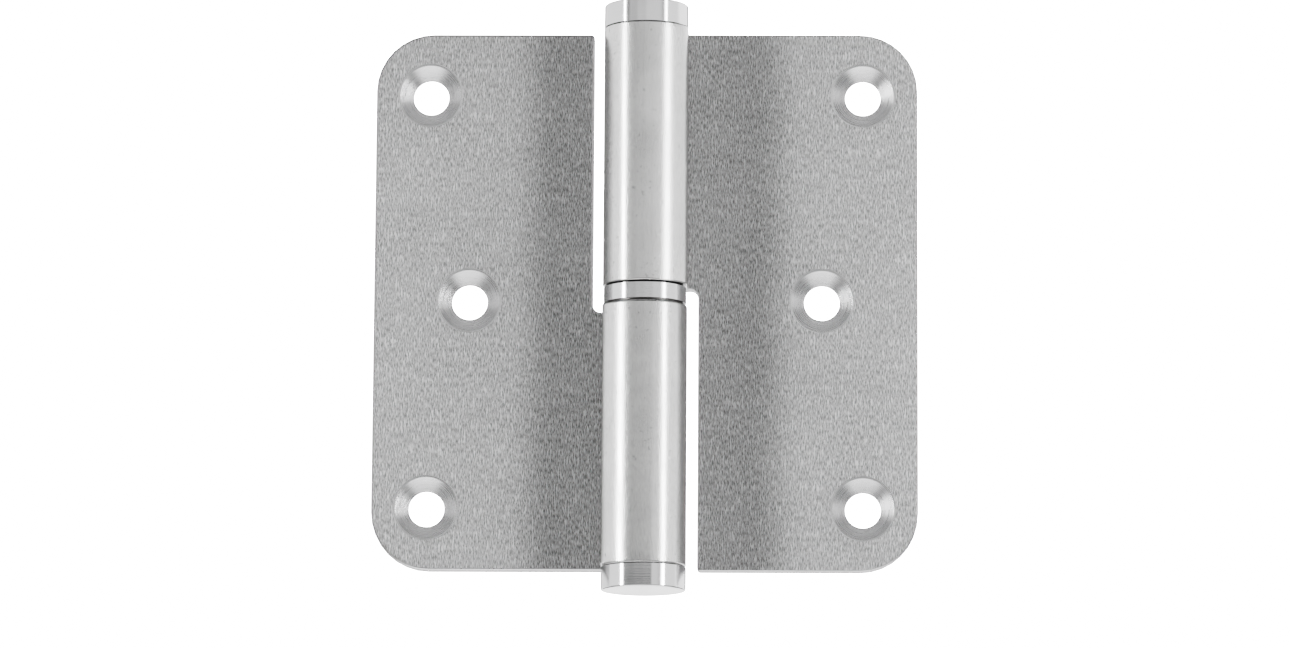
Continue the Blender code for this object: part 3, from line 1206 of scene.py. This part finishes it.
@dataclass(frozen=True)
class StripLight:
    """A tall narrow light that stands close to the hinge, on one side of the camera.

    Angles are in degrees. Azimuth 0 is the camera's side and grows towards +X. lean tips the
    light's top to the left of someone who stands at it and faces the hinge. aim turns the light
    about the vertical, anticlockwise seen from above, so that it faces the leaf on its far side.
    level is its brightness, and spread is the angle that its light stays inside.
    """

    name: str
    azimuth: float
    distance: float
    centre_height: float
    width: float
    height: float
    lean: float
    level: float
    aim: float
    spread: float = 62.0

    def build(self) -> bpy.types.Object:
        """Builds the light."""
        lamp = bpy.data.lights.new(self.name, "AREA")
        lamp.shape = "RECTANGLE"
        lamp.size = self.width
        lamp.size_y = self.height
        lamp.spread = math.radians(self.spread)
        lamp.energy = self.level * math.pi * self.width * self.height
        made = bpy.data.objects.new(self.name, lamp)
        bpy.context.scene.collection.objects.link(made)
        around = math.radians(self.azimuth)
        out = Vector((math.sin(around), -math.cos(around), 0.0))
        across = Vector((math.cos(around), math.sin(around), 0.0))
        tip = math.radians(self.lean)
        up = Vector((0, 0, 1)) * math.cos(tip) - across * math.sin(tip)
        turn = Matrix((up.cross(out), up, out)).transposed().to_4x4()
        turn = Matrix.Rotation(math.radians(self.aim), 4, "Z") @ turn
        place = out * self.distance + Vector((0, 0, self.centre_height))
        made.matrix_world = Matrix.Translation(place) @ turn
        made.visible_camera = False
        return made


@dataclass
class Studio:
    """The camera, the soft light and the pale floor.

    The strips stand close in front of the leaves, so that the barrel shades the band of leaf
    beside it.
    """

    camera_place: tuple = (0.02015, -0.9305, -0.1672)
    camera_pitch: float = math.radians(9.912)
    camera_turn: float = math.radians(1.239)
    camera_roll: float = math.radians(0.359)
    focal_length: float = 162.06
    clip_start: float = 0.01
    clip_end: float = 1000.0
    floor_height: float = -1.4
    floor_size: float = 300.0
    floor_colour: tuple = (0.86, 0.86, 0.86, 1)
    floor_roughness: float = 0.8
    floor_glow: float = 5.0
    room_level: float = 0.35
    backdrop_level: float = 22.0
    strips: tuple = (
        StripLight("left strip", -56.5, 0.13, 0.02, 0.026, 0.40, 1.0, 9.9, -28),
        StripLight("right strip", 51, 0.13, 0.02, 0.034, 0.40, 0.0, 4.6, 27),
    )

    def camera(self) -> None:
        """Builds the camera and makes it the scene's."""
        lens = bpy.data.cameras.new("camera")
        lens.lens = self.focal_length
        lens.clip_start = self.clip_start
        lens.clip_end = self.clip_end
        made = bpy.data.objects.new("camera", lens)
        bpy.context.scene.collection.objects.link(made)
        turn = Matrix.Rotation(self.camera_turn, 4, "Z")
        pitch = Matrix.Rotation(math.pi / 2 + self.camera_pitch, 4, "X")
        roll = Matrix.Rotation(self.camera_roll, 4, "Z")
        made.matrix_world = Matrix.Translation(self.camera_place) @ (turn @ pitch) @ roll
        bpy.context.scene.camera = made

    def floor(self) -> None:
        """Builds the pale floor. Only the camera sees it, so the panels alone light the hinge."""
        shape = bmesh.new()
        bmesh.ops.create_grid(shape, x_segments=1, y_segments=1, size=self.floor_size / 2)
        bmesh.ops.translate(shape, verts=shape.verts, vec=(0, 0, self.floor_height))
        mesh = bpy.data.meshes.new("floor")
        shape.to_mesh(mesh)
        shape.free()
        paint = bpy.data.materials.new("pale floor")
        paint.use_nodes = True
        shader = paint.node_tree.nodes["Principled BSDF"]
        shader.inputs["Base Color"].default_value = self.floor_colour
        shader.inputs["Roughness"].default_value = self.floor_roughness
        shader.inputs["Emission Color"].default_value = (1, 1, 1, 1)
        shader.inputs["Emission Strength"].default_value = self.floor_glow
        mesh.materials.append(paint)
        made = bpy.data.objects.new("floor", mesh)
        made.visible_diffuse = False
        made.visible_glossy = False
        made.visible_transmission = False
        made.visible_shadow = False
        bpy.context.scene.collection.objects.link(made)

    @staticmethod
    def panel_group() -> bpy.types.NodeTree:
        """Returns the group that lays one panel over what is behind it."""
        wanted = dict.fromkeys(("Azimuth", "Elevation", "At", "Height", "Half Width", "Half Height"), 0.0)
        wanted.update({"Softness": 1.0, "Level": 1.0, "Behind": 1.0})
        nodes, given, out = new_group("Studio panel", wanted, ["Level"])
        masks = []
        for angle, centre, half in (("Azimuth", "At", "Half Width"), ("Elevation", "Height", "Half Height")):
            away = nodes.maths("SUBTRACT", given[angle], given[centre])
            away = nodes.maths("ABSOLUTE", nodes.maths("WRAP", away, 180.0, -180.0))
            start = nodes.maths("SUBTRACT", given[half], given["Softness"])
            end = nodes.maths("ADD", given[half], given["Softness"])
            masks.append(nodes.spread(away, start, end, 1.0, 0.0))
        mask = nodes.maths("MULTIPLY", *masks)
        mixed = nodes.add("Mix", {0: mask, 2: given["Behind"], 3: given["Level"]}, data_type="FLOAT")
        nodes.tree.links.new(mixed.outputs[0], out["Level"])
        return nodes.tree

    def surround(self) -> None:
        """Builds the panels round the hinge, in front of a room that the camera sees as plain white."""
        world = bpy.data.worlds.new("surround")
        world.use_nodes = True
        bpy.context.scene.world = world
        nodes = Nodes(world.node_tree)
        back = world.node_tree.nodes["Background"]
        axes = nodes.add("SeparateXYZ", {0: nodes.add("TexCoord").outputs["Generated"]})
        towards_camera = nodes.maths("MULTIPLY", axes.outputs["Y"], -1.0)
        azimuth = nodes.maths("DEGREES", nodes.maths("ARCTAN2", axes.outputs["X"], towards_camera))
        elevation = nodes.maths("DEGREES", nodes.maths("ARCSINE", axes.outputs["Z"]))
        group = self.panel_group()
        level: object = self.room_level
        for light in StudioLight:
            panel = light.value
            node = nodes.add("Group", node_tree=group)
            node.label = light.name.replace("_", " ").lower()
            nodes.tree.links.new(azimuth, node.inputs["Azimuth"])
            nodes.tree.links.new(elevation, node.inputs["Elevation"])
            values = {
                "At": panel.azimuth,
                "Height": panel.elevation,
                "Half Width": panel.half_width,
                "Half Height": panel.half_height,
                "Softness": panel.softness,
                "Level": panel.level,
            }
            for key, value in values.items():
                node.inputs[key].default_value = value
            if isinstance(level, bpy.types.NodeSocket):
                nodes.tree.links.new(level, node.inputs["Behind"])
            else:
                node.inputs["Behind"].default_value = level
            level = node.outputs[0]
        seen = nodes.add("LightPath").outputs["Is Camera Ray"]
        shown = nodes.add("Mix", {0: seen, 2: level, 3: self.backdrop_level}, data_type="FLOAT").outputs[0]
        back.inputs["Color"].default_value = (1, 1, 1, 1)
        nodes.tree.links.new(shown, back.inputs["Strength"])

    def build(self) -> None:
        """Builds the whole studio."""
        self.camera()
        self.floor()
        self.surround()
        for strip in self.strips:
            strip.build()
        bpy.context.scene.view_settings.view_transform = "AgX"
        bpy.context.scene.view_settings.look = "AgX - Medium High Contrast"


def clear_scene() -> None:
    """Removes the objects that Blender starts with."""
    for old in list(bpy.data.objects):
        bpy.data.objects.remove(old, do_unlink=True)


def main() -> None:
    """Builds the hinge round the frame, and the studio round the hinge."""
    logging.basicConfig(level=logging.INFO, format="%(name)s: %(message)s")
    clear_scene()
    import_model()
    shared = read_frame(Finishes())
    assemblies = [
        Leaf(shared, "frame_leaf", "frame_side", half_turn=True, edge_round=0.36 * MM),
        Leaf(shared, "door_leaf", "door_side", half_turn=False),
        Pin(shared),
        EndCap(shared, "bottom_cap", "frame_side", -1),
        EndCap(shared, "top_cap", "door_side", 1),
        ThrustBearing(shared),
        Bushes(shared),
    ]
    for assembly in assemblies:
        made = assembly.build()
    Studio().build()


if __name__ == "__main__":
    main()
